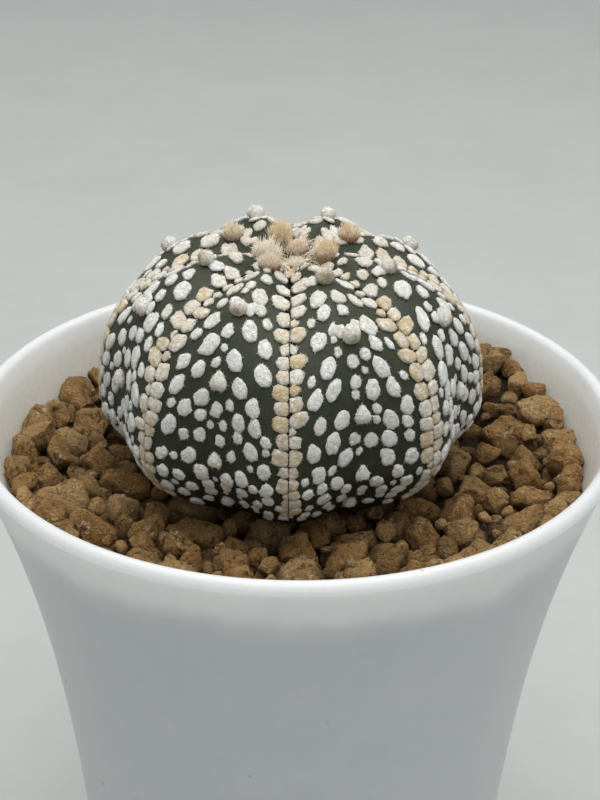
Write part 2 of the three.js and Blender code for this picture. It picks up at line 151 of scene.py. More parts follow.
# The young areoles at the crown, which are tufts of wool: the rib, the distance from the crown,
# the tuft's radius and height, how tan it is and how brown at the root.
CROWN_REACH = 10
BACK_RIBS = (0, 7)
PETALS_END = 25
TUFTS = [
    (0, 4.2, 1.35, 4.0, 0.85, 0.2), (1, 8.8, 1.2, 2.5, 0.5, 0.4), (2, 3.6, 1.65, 3.6, 0.1, 0.3),
    (3, 7.4, 1.4, 2.3, 0.3, 1.0), (4, 1.6, 1.2, 1.2, 0.2, 0.1), (5, 5.2, 1.4, 3.2, 0.8, 0.25),
    (6, 8.6, 1.3, 2.7, 0.75, 0.6), (7, 2.0, 1.1, 2.8, 0.45, 0.5),
]

# How many hairs each fleck, knob, tuft and crease has, and the crown.
FLECK_HAIRS, KNOB_HAIRS, TUFT_HAIRS, CREASE_HAIRS, CROWN_HAIRS = 24, 110, 620, 130, 2400
CREASE_WOOL = (18, 47)
CROWN_WOOL_RADIUS = 5.0


# ---- Making and finishing meshes ----

def nothing_selected():
    if bpy.context.mode != "OBJECT":
        bpy.ops.object.mode_set(mode="OBJECT")
    bpy.ops.object.select_all(action="DESELECT")


def select_only(piece):
    nothing_selected()
    piece.select_set(True)
    bpy.context.view_layer.objects.active = piece


def added(name):
    """The primitive just added, which is still selected, under its name."""
    piece = bpy.context.object
    piece.name = piece.data.name = name
    return piece


def edit_all():
    """Goes into edit mode, where edges are picked, with all of the piece selected."""
    bpy.ops.object.mode_set(mode="EDIT")
    bpy.ops.mesh.select_mode(type="EDGE")
    bpy.ops.mesh.select_all(action="SELECT")


def draw_on(rise, grow, centre=(0, 0, 0)):
    """Extrudes what is selected upwards, and widens it about a centre."""
    bpy.ops.mesh.extrude_region_move(TRANSFORM_OT_translate={"value": (0, 0, rise)})
    bpy.ops.transform.resize(value=(grow, grow, 1), center_override=centre)


def start_ring(name, profile, corners, fill, x=0, y=0):
    """A circle of the first ring (radius, level) of a profile, all selected in edit mode."""
    nothing_selected()
    radius, level = profile[0]
    bpy.ops.mesh.primitive_circle_add(vertices=corners, radius=radius * MM, fill_type=fill,
                                      location=(x * MM, y * MM, level * MM))
    piece = added(name)
    edit_all()
    return piece


def follow(profile, x=0, y=0):
    """Draws what is selected on through the other rings of a profile."""
    for (radius, level), (next_radius, next_level) in zip(profile, profile[1:]):
        draw_on((next_level - level) * MM, next_radius / radius, (x * MM, y * MM, next_level * MM))


def face_outwards():
    bpy.ops.mesh.select_all(action="SELECT")
    bpy.ops.mesh.normals_make_consistent(inside=False)


def apply_place(piece):
    """Puts the object at the origin, unturned and unscaled, with its place in its mesh."""
    select_only(piece)
    bpy.ops.object.transform_apply(location=True, rotation=True, scale=True)
    nothing_selected()


def corners_of(piece):
    places = np.empty(3 * len(piece.data.vertices))
    piece.data.vertices.foreach_get("co", places)
    return places.reshape(-1, 3)


def move_corners(piece, places):
    piece.data.vertices.foreach_set("co", np.asarray(places, float).ravel())
    piece.data.update()


def shade_smooth(piece):
    piece.data.polygons.foreach_set("use_smooth", [True] * len(piece.data.polygons))


def finish_piece(piece, material, slot, *nodes):
    piece.data.materials.clear()
    piece.data.materials.append(material)
    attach(piece, "root")
    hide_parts(*nodes)


class Shape:
    """The corners and faces of a modelled shape, of which many copies are set out."""

    def __init__(self, piece):
        self.corners = corners_of(piece)
        self.faces = [tuple(face.vertices) for face in piece.data.polygons]
        bpy.data.objects.remove(piece)


def give_look(piece, look):
    """Stores a tan share and a lightness at each corner, which the piece's material reads."""
    colours = np.ones((len(piece.data.vertices), 4), np.float32)
    colours[:, :2] = look
    attribute = piece.data.attributes.new("look", "FLOAT_COLOR", "POINT")
    attribute.data.foreach_set("color", colours.ravel())


def new_piece(name, places, faces, look):
    mesh = bpy.data.meshes.new(name)
    mesh.from_pydata((places * MM).tolist(), [], faces)
    piece = bpy.data.objects.new(name, mesh)
    bpy.context.scene.collection.objects.link(piece)
    shade_smooth(piece)
    give_look(piece, look)
    return piece


def set_out(name, copies):
    """One piece from copies of shapes: each is (shape, its corners' places in mm, its look).
    The look is (tan share, lightness) at each corner, or for all."""
    places, faces, looks = [], [], []
    start = 0
    for shape, corners, look in copies:
        places.append(corners)
        faces += [tuple(start + corner for corner in face) for face in shape.faces]
        looks.append(np.broadcast_to(np.asarray(look, float), (len(corners), 2)))
        start += len(corners)
    return new_piece(name, np.concatenate(places), faces, np.concatenate(looks))


def hairs(name, rows, stages=((0, 1), (0.5, 0.75), (1, 0.25))):
    """One piece of fine tapered hairs with three sides. Each row is (root, way with its length,
    curl, thickness, look at the root, look at the tip), and the stages say how thick a hair is
    along its length."""
    roots, ways, curls, thick, first, last = (np.array(column, float) for column in zip(*rows))
    upright = np.abs(unit(ways)[:, 2:]) > 0.9
    aside = unit(np.cross(ways, np.where(upright, [[1.0, 0, 0]], [[0, 0, 1.0]])))
    across = unit(np.cross(ways, aside))
    places, looks = [], []
    for share, taper in stages:
        middle = roots + ways * share + curls * share ** 2
        for corner in range(3):
            angle = corner * TURN / 3
            sideways = aside * math.cos(angle) + across * math.sin(angle)
            places.append(middle + sideways * (thick * taper)[:, None])
            looks.append(first + (last - first) * share)
    faces = []
    for hair in range(len(rows)):
        at = [corner * len(rows) + hair for corner in range(3 * len(stages))]
        faces.append((at[2], at[1], at[0]))
        for ring in range(0, len(at) - 3, 3):
            for a, b in ((0, 1), (1, 2), (2, 0)):
                faces.append((at[ring + a], at[ring + b], at[ring + b + 3], at[ring + a + 3]))
        faces.append(tuple(at[-3:]))
    return new_piece(name, np.concatenate(places), faces, np.concatenate(looks))


# ---- The forms that the pieces share ----

def unit(vectors):
    return vectors / np.linalg.norm(vectors, axis=-1, keepdims=True)


def off_axis(places):
    """How far places are from the upright line through the origin."""
    return np.hypot(places[:, 0], places[:, 1])


def wobble(draw, size, count=3):
    return np.array([draw.uniform(-size, size) for _ in range(count)])


def pot_radius(level):
    depth = np.maximum(0, POT_HEIGHT - np.asarray(level, float))
    flare_left = np.exp(-((depth / FLARE_DEPTH) ** FLARE_POWER))
    return RIM_RADIUS - FLARE * (1 - flare_left) - DRAFT * depth


def pot_bore(level):
    return pot_radius(level) - WALL


def quarter_curve(line, latitude):
    power = 2 / np.where(latitude > 0, line["shoulder"], line["foot"])
    reach = np.where(latitude > 0, line["above"], -line["below"])
    return (line["radius"] * np.abs(np.cos(latitude)) ** power,
            reach * np.abs(np.sin(latitude)) ** power)


def body_point(bearing, latitude, creased=False):
    """Places on the body. The bearing is from the front towards +X, in radians, and the
    latitude runs from a quarter turn at the crown to minus a quarter turn at the bottom."""
    bearing, latitude = np.asarray(bearing, float), np.asarray(latitude, float)
    seam_radius, seam_height = quarter_curve(SEAM_LINE, latitude)
    rib_radius, rib_height = quarter_curve(RIB_LINE, latitude)
    pinch = np.minimum(1, seam_radius / CROWN_BLEND)
    share = (1 + pinch * np.cos(RIBS * bearing)) / 2
    radius = rib_radius + (seam_radius - rib_radius) * share
    height = BODY_LEVEL + rib_height + (seam_height - rib_height) * share
    dimple, reach = CROWN_DIMPLE
    height = height - np.where(latitude > 0, dimple * np.exp(-((radius / reach) ** 2)), 0)
    if creased:
        from_seam = np.abs(bearing - SECTOR * np.round(bearing / SECTOR)) * radius
        crease = pinch * CREASE_DEPTH * np.exp(-((from_seam / CREASE_WIDTH) ** 2))
        radius = radius - crease * np.cos(latitude)
        height = height - crease * np.maximum(0, np.sin(latitude))
    return np.stack([BODY_X + radius * np.sin(bearing), BODY_Y - radius * np.cos(bearing),
                     POT_HEIGHT + height], -1)


def body_frame(bearing, latitude):
    """Places on the body with the directions out, down along the rib and sideways, and the
    millimetres that a radian of bearing and of latitude cover there."""
    step = 0.01
    place = body_point(bearing, latitude)
    down = (body_point(bearing, latitude - step) - body_point(bearing, latitude + step)) / (2 * step)
    side = (body_point(bearing + step, latitude) - body_point(bearing - step, latitude)) / (2 * step)
    reach_down = np.linalg.norm(down, axis=-1)
    reach_side = np.linalg.norm(side, axis=-1)
    out = unit(np.cross(down, side))
    down = unit(down)
    return place, out, down, np.cross(out, down), reach_side, reach_down


LATITUDES = np.linspace(TURN / 4 - 1e-3, -TURN / 4 + 0.02, 900)


def travelled_down(bearing):
    """The distance from the crown, along the surface, at each of the latitudes."""
    line = body_point(np.full_like(LATITUDES, bearing), LATITUDES)
    return np.concatenate([[0], np.cumsum(np.linalg.norm(np.diff(line, axis=0), axis=1))])


def latitude_at(bearing, distance):
    """The latitude at this distance from the crown."""
    return np.interp(distance, travelled_down(bearing), LATITUDES)


def frame_at(bearing, distance):
    return body_frame(bearing, latitude_at(bearing, distance))


def laid_on_body(corners, bearing, latitude, twist, width, length, height):
    """A shape's corners (sideways, up, out) bent to lie on the body round a place on it. They
    stay on one side of the nearest crease."""
    across, along = corners[:, 0] * width, corners[:, 1] * length
    side = across * math.cos(twist) - along * math.sin(twist)
    up = across * math.sin(twist) + along * math.cos(twist)
    reach_side = body_frame(bearing, latitude)[4]
    seam = SECTOR * round(bearing / SECTOR)
    hand = 1 if bearing > seam else -1
    from_seam = np.maximum(hand * (bearing - seam + side / reach_side), CREASE_GAP / reach_side)
    travelled = travelled_down(bearing)
    distance = np.interp(-latitude, -LATITUDES, travelled)
    latitudes = np.clip(np.interp(distance - up, travelled, LATITUDES), -1.5, 1.52)
    place, out, *_ = body_frame(seam + hand * from_seam, latitudes)
    return place + out * (corners[:, 2] * height)[:, None]


def rib_bearing(rib):
    return (rib + 0.5) * SECTOR - math.pi


def areole_places():
    """The rib, distance from the crown, bearing and latitude of each areole that is a knob."""
    for rib, distances in enumerate(AREOLES):
        for distance in distances:
            if distance > CROWN_REACH:
                yield rib, distance, rib_bearing(rib), latitude_at(rib_bearing(rib), distance)


def swell(angle, lump):
    bearing, width, rise = lump
    turn = (np.degrees(angle) - bearing + 540) % 360 - 180
    return rise * np.exp(-((turn / width) ** 2))


def soil_top(x, y):
    """The level of the granules' tops."""
    angle, radius = np.arctan2(y, x), np.hypot(x, y)
    wall = pot_bore(POT_HEIGHT - SOIL_DEPTH)
    uneven = (swell(angle, HEAP) + swell(angle, HOLLOW)) * np.minimum(1, radius / wall) ** 2
    return POT_HEIGHT - SOIL_DEPTH + uneven - SOIL_SLOPE * (wall - radius)


# ---- Materials ----

def linear(*colour):
    """A colour as seen, 0 to 255, as the shader wants it."""
    def light(part):
        return ((part / 255 + 0.055) / 1.055) ** 2.4 if part > 10 else part / 3294

    return (*map(light, colour), 1)


class Shader:
    """A tree of shader nodes, with short ways to add to it. Its patterns follow the place."""

    def __init__(self, tree, place):
        self.tree = tree
        self.place = place

    def feed(self, socket, value):
        """Links another node's output to the socket, or sets the socket's own value."""
        if isinstance(value, bpy.types.NodeSocket):
            self.tree.links.new(value, socket)
        else:
            socket.default_value = value

    def node(self, kind, inputs=None, **settings):
        node = self.tree.nodes.new(kind)
        for name, value in settings.items():
            setattr(node, name, value)
        for name, value in (inputs or {}).items():
            self.feed(node.inputs[name], value)
        return node

    def group(self, group, size):
        return self.node("ShaderNodeGroup", {"Place": self.place, "Size": size}, node_tree=group).outputs

    def parts(self, colour):
        return self.node("ShaderNodeSeparateColor", {"Color": colour}).outputs

    def look(self):
        """The tan share, as Red, and the lightness, as Green, that a piece has at its corners."""
        return self.parts(self.node("ShaderNodeAttribute", attribute_name="look").outputs["Color"])

    def noise(self, scale, detail=2.0, roughness=0.5, distortion=0.0):
        inputs = {"Vector": self.place, "Scale": scale, "Detail": detail, "Roughness": roughness,
                  "Distortion": distortion}
        return self.node("ShaderNodeTexNoise", inputs).outputs["Fac"]

    def cells(self, scale):
        return self.node("ShaderNodeTexVoronoi", {"Vector": self.place, "Scale": scale}).outputs

    def spread(self, value, low, high, new_low=0.0, new_high=1.0):
        """A value stretched from one range to another, and held inside it."""
        inputs = {"Value": value, "From Min": low, "From Max": high, "To Min": new_low, "To Max": new_high}
        return self.node("ShaderNodeMapRange", inputs).outputs["Result"]

    def times(self, first, second):
        return self.node("ShaderNodeMath", {0: first, 1: second}, operation="MULTIPLY").outputs[0]

    def plus(self, first, second):
        return self.node("ShaderNodeMath", {0: first, 1: second}, operation="ADD").outputs[0]

    def total(self, first, *others):
        """The sum of pairs (value, share)."""
        result = self.times(*first)
        for pair in others:
            result = self.plus(result, self.times(*pair))
        return result

    def mixed(self, share, first, second, blend="MIX"):
        inputs = {0: share, 6: first, 7: second}
        return self.node("ShaderNodeMix", inputs, data_type="RGBA", blend_type=blend).outputs[2]

    def tinted(self, colour, tint, mask, strength, blend="MIX"):
        """The colour with a tint over it where the mask is."""
        return self.mixed(self.times(mask, strength), colour, tint, blend)


def new_group(name, build):
    """A node group that is given a place and a size, and puts out the values that build makes."""
    tree = bpy.data.node_groups.new(name, "ShaderNodeTree")
    tree.interface.new_socket("Place", in_out="INPUT", socket_type="NodeSocketVector")
    tree.interface.new_socket("Size", in_out="INPUT", socket_type="NodeSocketFloat")
    given = tree.nodes.new("NodeGroupInput").outputs
    made = build(Shader(tree, given["Place"]), given["Size"])
    for output in made:
        tree.interface.new_socket(output, in_out="OUTPUT", socket_type="NodeSocketFloat")
    result = tree.nodes.new("NodeGroupOutput").inputs
    for output, value in made.items():
        tree.links.new(value, result[output])
    return tree


def mottle(shader, size):
    """Broad cloudy patches with a finer mottle in them."""
    broad = shader.noise(size, 3, 0.6)
    fine = shader.noise(shader.times(size, 6), 3, 0.7)
    return {"Patches": shader.spread(shader.total((broad, 0.62), (fine, 0.38)), 0.34, 0.66)}


def grit(shader, size):
    """A rough crumbly grain: broad lumps, grains that stand on them, and pits, with a mask of the pits for
    painted shade.
    """
    broad = shader.noise(shader.times(size, 0.6), 5, 0.72, 0.4)
    fine = shader.noise(shader.times(size, 2.6), 4, 0.75, 0.2)
    cells = shader.cells(shader.times(size, 2.1))["Distance"]
    grains = shader.times(shader.spread(cells, 0.5, 0.1), shader.spread(broad, 0.44, 0.6))
    pits = shader.spread(shader.total((broad, 1.0), (fine, 0.5)), 0.68, 0.58)
    height = shader.total((broad, 1.6), (fine, 1.3), (grains, 0.35), (pits, -0.3))
    return {"Height": height, "Grains": grains, "PitShade": pits}


def felt_nap(shader, size):
    """The nap of felt: fine tangled fibres that stand up, and a mask of the small gaps between them, which
    the felt darkens as painted shade.
    """
    tangle = shader.noise(size, 3, 0.75, 1.2)
    curls = shader.noise(shader.times(size, 0.35), 2, 0.5, 0.6)
    height = shader.total((tangle, 0.65), (curls, 0.6))
    return {"Height": height, "GapShade": shader.spread(height, 0.68, 0.50)}


MOTTLE, GRIT, FELT = new_group("mottle", mottle), new_group("grit", grit), new_group("felt_nap", felt_nap)


class Material(Shader):
    """A material's own tree, with its surface's inputs. Its patterns lie on the object."""

    def __init__(self, name, specular):
        self.material = bpy.data.materials.new(name)
        self.material.use_nodes = True
        nodes = self.material.node_tree.nodes
        self.surface = nodes["Principled BSDF"].inputs
        self.surface["Specular IOR Level"].default_value = specular
        super().__init__(self.material.node_tree, nodes.new("ShaderNodeTexCoord").outputs["Object"])

    def finished(self, colour, roughness, height, depth, strength=1.0):
        """The material with its colour, its roughness and a bump that is depth millimetres deep."""
        inputs = {"Strength": strength, "Distance": depth * MM, "Height": height}
        self.feed(self.surface["Base Color"], colour)
        self.feed(self.surface["Roughness"], roughness)
        self.feed(self.surface["Normal"], self.node("ShaderNodeBump", inputs).outputs["Normal"])
        return self.material


def skin_material():
    """Grey-green skin in cloudy patches, darker and yellower low down where painted shade lies, with a few
    pale dots.
    """
    skin = Material("cactus_skin", 0.35)
    patches = skin.group(MOTTLE, 420.0)["Patches"]
    colour = skin.mixed(patches, linear(40, 44, 30), linear(59, 64, 47))
    level = skin.node("ShaderNodeSeparateXYZ", {"Vector": skin.place}).outputs["Z"]
    # Painted shade: the skin goes darker and yellower towards the bottom of the body.
    low = skin.spread(level, (POT_HEIGHT + 12) * MM, (POT_HEIGHT - 10) * MM, 0.0, 0.75)
    colour = skin.mixed(low, colour, linear(30, 34, 18))
    dots = skin.spread(skin.cells(2600.0)["Distance"], 0.20, 0.08)
    rare = skin.spread(skin.noise(700.0, 1), 0.52, 0.62)
    colour = skin.tinted(colour, linear(150, 155, 135), skin.times(dots, rare), 0.5)
    rough = skin.spread(patches, 0, 1, 0.55, 0.7)
    return skin.finished(colour, rough, skin.noise(2400.0, 3, 0.6), 0.06, 0.6)


def felt_material(name, pale, tan, deep, nap_depth):
    """Felt that goes from pale to tan as the piece's look says, and to a deep colour where the look makes it
    darker, which on the knobs is painted shade. Painted shade darkens the small gaps in its nap.
    """
    felt = Material(name, 0.15)
    felt.surface["Sheen Weight"].default_value = 0.3
    felt.surface["Sheen Roughness"].default_value = 0.5
    look = felt.look()
    nap = felt.group(FELT, 2100.0)
    blotches = felt.spread(felt.noise(1100.0, 2, 0.6), 0.3, 0.7, 0.35, 1.5)
    colour = felt.tinted(pale, tan, look["Red"], blotches)
    colour = felt.mixed(felt.spread(look["Green"], 1, 0), colour, deep)
    # Painted shade darkens the felt in the gaps of its nap.
    colour = felt.tinted(colour, linear(222, 220, 212), nap["GapShade"], 0.5, "MULTIPLY")
    return felt.finished(colour, 0.95, nap["Height"], nap_depth)


def clay_material(name, light, middle, dark):
    """Crumbly baked clay, lighter or darker from granule to granule as the piece's look says,
    with light grains and clusters of pale dust. Painted shade darkens its pits, and darkens it
    nearly to black where the look's lightness is low, down in the pile and on the bed."""
    clay = Material(name, 0.2)
    look = clay.look()
    grain = clay.group(GRIT, 900.0)
    colour = clay.mixed(clay.group(MOTTLE, 260.0)["Patches"], dark, middle)
    colour = clay.mixed(look["Red"], colour, clay.mixed(0.45, colour, light))
    colour = clay.tinted(colour, light, grain["Grains"], 0.6)
    crumbs = clay.spread(clay.noise(1700.0, 3, 0.7), 0.5, 0.62)
    clusters = clay.spread(clay.noise(300.0), 0.54, 0.66, 0.1, 0.95)
    colour = clay.tinted(colour, linear(228, 208, 174), crumbs, clusters)
    # Painted shade darkens the clay in its pits.
    colour = clay.tinted(colour, linear(66, 44, 25), grain["PitShade"], 0.75)
    # Painted shade: where the look's lightness is low, deep in the pile and on the bed, the clay goes nearly
    # black.
    colour = clay.mixed(clay.spread(look["Green"], 1, 0), colour, linear(28, 18, 9))
    return clay.finished(colour, 0.95, grain["Height"], 1.1)


def pot_material():
    """Smooth white plastic that lets light in, with rare specks. Where the piece's look has red, on
    the wall inside, clay dust clings and a warm tint paints the light bounced from the clay."""
    plastic = Material("white_plastic", 0.5)
    plastic.surface["Subsurface Weight"].default_value = 0.85
    plastic.surface["Subsurface Radius"].default_value = (1.0, 0.97, 0.9)
    plastic.surface["Subsurface Scale"].default_value = 0.009
    patches = plastic.group(MOTTLE, 60.0)["Patches"]
    colour = plastic.mixed(patches, linear(208, 211, 212), linear(215, 217, 217))
    cells = plastic.cells(190.0)
    few = plastic.spread(plastic.parts(cells["Color"])["Red"], 0.86, 0.9)
    specks = plastic.times(plastic.spread(cells["Distance"], 0.10, 0.045), few)
    colour = plastic.tinted(colour, linear(120, 95, 70), specks, 0.55)
    inside = plastic.look()["Red"]
    dust = plastic.times(inside, plastic.spread(plastic.noise(900.0, 5, 0.75), 0.42, 0.7))
    # Painted light: a warm tint over the inside stands for light bounced from the clay.
    colour = plastic.tinted(colour, linear(194, 182, 162), inside, 0.4)
    colour = plastic.tinted(colour, linear(165, 135, 100), dust, 0.16)
    rough = plastic.plus(plastic.spread(patches, 0, 1, 0.32, 0.42), plastic.times(dust, 0.3))
    return plastic.finished(colour, rough, plastic.noise(1500.0), 0.012, 0.5)


def floor_material():
    table = Material("pale_table", 0.3)
    patches = table.group(MOTTLE, 22.0)["Patches"]
    colour = table.mixed(patches, linear(180, 184, 181), linear(186, 189, 186))
    return table.finished(colour, 0.55, table.noise(600.0, 3), 0.05, 0.3)


# ---- Pot ----

def pot_profile():
    """The wall's outline as (radius, level), out from the middle hole, up the outside, over
    the rounded lip, down the inside and back over the floor."""
    floor_top = FOOT_HEIGHT + FLOOR
    foot = pot_radius(0)
    inner_foot = foot - FOOT_WIDTH
    hole_edge = CENTRE_HOLE_RADIUS + EDGE
    profile = [(hole_edge, FOOT_HEIGHT), (SIDE_HOLE_RING, FOOT_HEIGHT), (inner_foot - 1.2, FOOT_HEIGHT),
               (inner_foot - 0.5, FOOT_HEIGHT - EDGE), (inner_foot, EDGE), (inner_foot + EDGE, 0),
               (foot - FOOT_CHAMFER, 0), (foot - 0.4, 0.15), (foot - 0.12, 0.45),
               (foot + 0.02, FOOT_CHAMFER)]
    profile += [(pot_radius(level), level) for level in WALL_LEVELS]
    lip = WALL / 2
    for step in range(LIP_STEPS + 1):
        angle = math.radians(180 * step / LIP_STEPS)
        drop = LIP_DROP if step < LIP_STEPS / 2 else lip
        profile.append((RIM_RADIUS - lip * (1 - math.cos(angle)), POT_HEIGHT - drop * (1 - math.sin(angle))))
    profile += [(pot_bore(level), level) for level in reversed(WALL_LEVELS[1:])]
    profile += [(pot_bore(floor_top + INNER_CORNER), floor_top + INNER_CORNER),
                (pot_bore(floor_top) - 0.7, floor_top + 0.6),
                (pot_bore(floor_top) - INNER_CORNER, floor_top), (SIDE_HOLE_RING, floor_top),
                (hole_edge, floor_top), (CENTRE_HOLE_RADIUS, floor_top - EDGE),
                (CENTRE_HOLE_RADIUS, FOOT_HEIGHT + EDGE), (hole_edge, FOOT_HEIGHT)]
    return profile


def drill_side_hole(pot, angle):
    nothing_selected()
    x, y = SIDE_HOLE_RING * math.cos(angle), SIDE_HOLE_RING * math.sin(angle)
    bpy.ops.mesh.primitive_cylinder_add(vertices=32, radius=SIDE_HOLE_RADIUS * MM, depth=4 * FLOOR * MM,
                                        location=(x * MM, y * MM, FOOT_HEIGHT * MM))
    drill = added("drill")
    hole = pot.modifiers.new("hole", "BOOLEAN")
    hole.operation, hole.solver, hole.object = "DIFFERENCE", "EXACT", drill
    select_only(pot)
    bpy.ops.object.modifier_apply(modifier=hole.name)
    bpy.data.objects.remove(drill)


def make_pot(material):
    """A ring at the middle hole, drawn on round the whole outline of the wall."""
    profile = pot_profile()
    pot = start_ring("pot_shell", profile, 128, "NOTHING")
    follow(profile)
    bpy.ops.mesh.select_all(action="SELECT")
    bpy.ops.mesh.remove_doubles(threshold=0.01 * MM)
    face_outwards()
    apply_place(pot)
    for hole in range(SIDE_HOLES):
        drill_side_hole(pot, (hole + 0.5) * TURN / SIDE_HOLES)
    select_only(pot)
    bpy.ops.object.shade_smooth_by_angle(angle=math.radians(40))
    places = corners_of(pot) / MM
    inner = off_axis(places) < pot_radius(places[:, 2]) - WALL / 2
    # The inner wall below the rim gets clay dust and a warm painted bounce light.
    dust_and_bounce = inner * np.clip((POT_HEIGHT - DUST_AND_BOUNCE_DEPTH - places[:, 2]) / DUST_AND_BOUNCE_FADE, 0, 1)
    give_look(pot, dust_and_bounce[:, None])
    finish_piece(pot, material, "pot_plastic", "pot")


# ---- Soil ----

def clear_of_body(places):
    """How far each place is outside the plant's surface, less than nothing inside it."""
    bearing, latitude = np.meshgrid(np.linspace(-math.pi, math.pi, 121), np.linspace(-1.45, 0.9, 40))
    skin, out, *_ = body_frame(bearing.ravel(), latitude.ravel())
    clear = []
    for place in places:
        away = place - skin
        nearest = (away ** 2).sum(1).argmin()
        clear.append(away[nearest] @ out[nearest])
    return np.array(clear)


def bore_under_lip(level):
    return pot_bore(np.minimum(level, POT_HEIGHT - 1))


class Pile:
    """The granules set so far, each a row (x, y, level, radius), and how much room they leave
    at spots spread through the top layers."""

    def __init__(self, draw):
        self.rows = []
        self.draw = draw
        spots = []
        while len(spots) < PILE_SPOTS:
            x, y = draw.uniform(-RIM_RADIUS, RIM_RADIUS), draw.uniform(-RIM_RADIUS, RIM_RADIUS)
            if PILE_INSIDE < math.hypot(x, y) < PILE_OUTSIDE:
                spots.append((x, y, soil_top(x, y) - draw.uniform(*PILE_DEPTHS)))
        self.spots = np.array(spots)
        uneven = np.array([draw.uniform(*PILE_UNEVEN) for _ in spots])
        self.top = soil_top(*self.spots[:, :2].T) + uneven
        wall = bore_under_lip(self.spots[:, 2]) - off_axis(self.spots)
        self.room = np.minimum(wall / WALL_REST, clear_of_body(self.spots) + SKIN_PRESS)

    def set_granule(self, place, radius):
        self.rows.append((*place, radius))
        away = np.linalg.norm(self.spots - place, axis=1)
        self.room = np.minimum(self.room, away - PACKING * radius)

    def lean_on_wall(self):
        """A ring of granules leans on the wall all round, so that the pile has no gap there."""
        angle = 0.0
        while angle < TURN:
            radius = self.draw.uniform(*WALL_SIZES)
            reach = pot_bore(POT_HEIGHT - SOIL_DEPTH) - WALL_LEAN * radius
            x, y = reach * math.cos(angle), reach * math.sin(angle)
            level = soil_top(x, y) - self.draw.uniform(*WALL_SINK) * radius
            self.set_granule(np.array([x, y, level]), radius)
            angle += WALL_STEP * radius / reach

    def fill(self, smallest, biggest, count):
        """Sets granules of a class. Of some spots where one fits, it takes the highest and
        tightest."""
        for _ in range(count):
            radius = self.draw.uniform(smallest, biggest)
            sink = CRUMB_SINK if radius < CRUMB_RADIUS else 0
            crest = self.spots[:, 2] + CREST * radius
            fits = np.flatnonzero((self.room >= radius) & (crest <= self.top - sink))
            if len(fits):
                tried = fits[[self.draw.randrange(len(fits)) for _ in range(PILE_TRIES)]]
                score = crest[tried] - self.top[tried] - TIGHTNESS * (self.room[tried] - radius)
                self.set_granule(self.spots[tried[score.argmax()]], radius)


def under_granules(draw):
    """Granules that lie on the fill under the pile, and show through its gaps darkened by painted
    shade. The plant hides those close under it, which are left out."""
    rows = []
    for _ in range(UNDER_TRIES):
        angle, reach = draw.uniform(0, TURN), RIM_RADIUS * math.sqrt(draw.random())
        x, y, radius = reach * math.cos(angle), reach * math.sin(angle), draw.uniform(*UNDER_SIZES)
        level = soil_top(x, y) - UNDER_DEPTH
        shaded = math.hypot(x - BODY_X, y - BODY_Y) < SHADE_RADIUS
        if shaded or reach > pot_bore(level) - WALL_LEAN * radius:
            continue
        if all(math.hypot(x - row[0], y - row[1]) > UNDER_PACKING * (radius + row[3]) for row in rows):
            rows.append((x, y, level, radius))
    clear = clear_of_body(np.array(rows)[:, :3])
    return [row for row, room in zip(rows, clear) if room > UNDER_CLEAR * row[3]]


def clay_shape(name, draw, splits):
    """A ball knocked flat on several sides, worn round, and lumpy all over."""
    nothing_selected()
    bpy.ops.mesh.primitive_ico_sphere_add(subdivisions=splits, radius=1)
    lump = added(name)
    places = corners_of(lump) * CLAY_BALL
    for _ in range(CLAY_FLATS):
        facing = unit(np.array([draw.gauss(0, 1) for _ in range(3)]))
        over = np.maximum(0, places @ facing - draw.uniform(*CLAY_CUTS))
        places = places - 0.95 * over[:, None] * facing
    places /= np.linalg.norm(places, axis=1).mean() / CLAY_MEAN
    shift = Vector([draw.uniform(0, 40) for _ in range(3)])
    for corner in places:
        at = Vector(corner)
        corner *= 1 + sum(size * noise.noise(at * pitch + shift) for pitch, size in CLAY_LUMPS[:splits])
    places *= [draw.uniform(*stretch) for stretch in CLAY_STRETCHES]
    move_corners(lump, places)
    return Shape(lump)


def turned(corners, draw):
    spin = Quaternion([draw.gauss(0, 1) for _ in range(4)]).normalized().to_matrix()
    return corners @ np.array(spin).T


def press_into_pot(corners, x, y):
    """Moves a granule in from the wall, and flattens there what is still past it."""
    limit = bore_under_lip(corners[:, 2]) - 0.1
    over = max(0, (off_axis(corners) - limit).max())
    corners[:, :2] -= 0.85 * over * np.array([x, y]) / math.hypot(x, y)
    corners[:, :2] *= np.minimum(1, limit / off_axis(corners))[:, None]


def make_granules(material):
    """The lumps that show most are finely modelled, and the small and deep ones coarsely."""
    draw = random.Random(31)
    fine, coarse, small = ([clay_shape(name, draw, splits) for _ in range(CLAY_SHAPES)]
                           for name, splits in (("clay_lump", 4), ("clay_crumb", 3), ("clay_grain", 2)))
    pile = Pile(draw)
    pile.lean_on_wall()
    for sizes in PILE_SIZES:
        pile.fill(*sizes)
    lumps, crumbs = [], []
    for place, (x, y, level, radius) in enumerate(pile.rows + under_granules(draw)):
        top = soil_top(x, y)
        shows = radius > FINE_RADIUS and level + radius > top - FINE_DEPTH and len(lumps) < FINE_LUMPS
        medium = radius > COARSE_RADIUS and place < len(pile.rows)
        shape = draw.choice(fine if shows else coarse if medium else small)
        corners = turned(shape.corners * radius * CLAY_GROWTH, draw) + (x, y, level)
        press_into_pot(corners, x, y)
        # Painted shade: corners deeper under the pile's top get a lower lightness.
        depth = np.clip((top - PAINTED_SHADE_FROM - corners[:, 2]) / PAINTED_SHADE_DEPTH, 0, 1)
        look = np.stack([np.full(len(corners), draw.uniform(0, 1) ** 2), 1 - 0.9 * depth], 1)
        (lumps if shows else crumbs).append((shape, corners, look))
    for name, copies in (("clay_lumps", lumps), ("clay_crumbs", crumbs)):
        finish_piece(set_out(name, copies), material, "clay_granules", "soil")


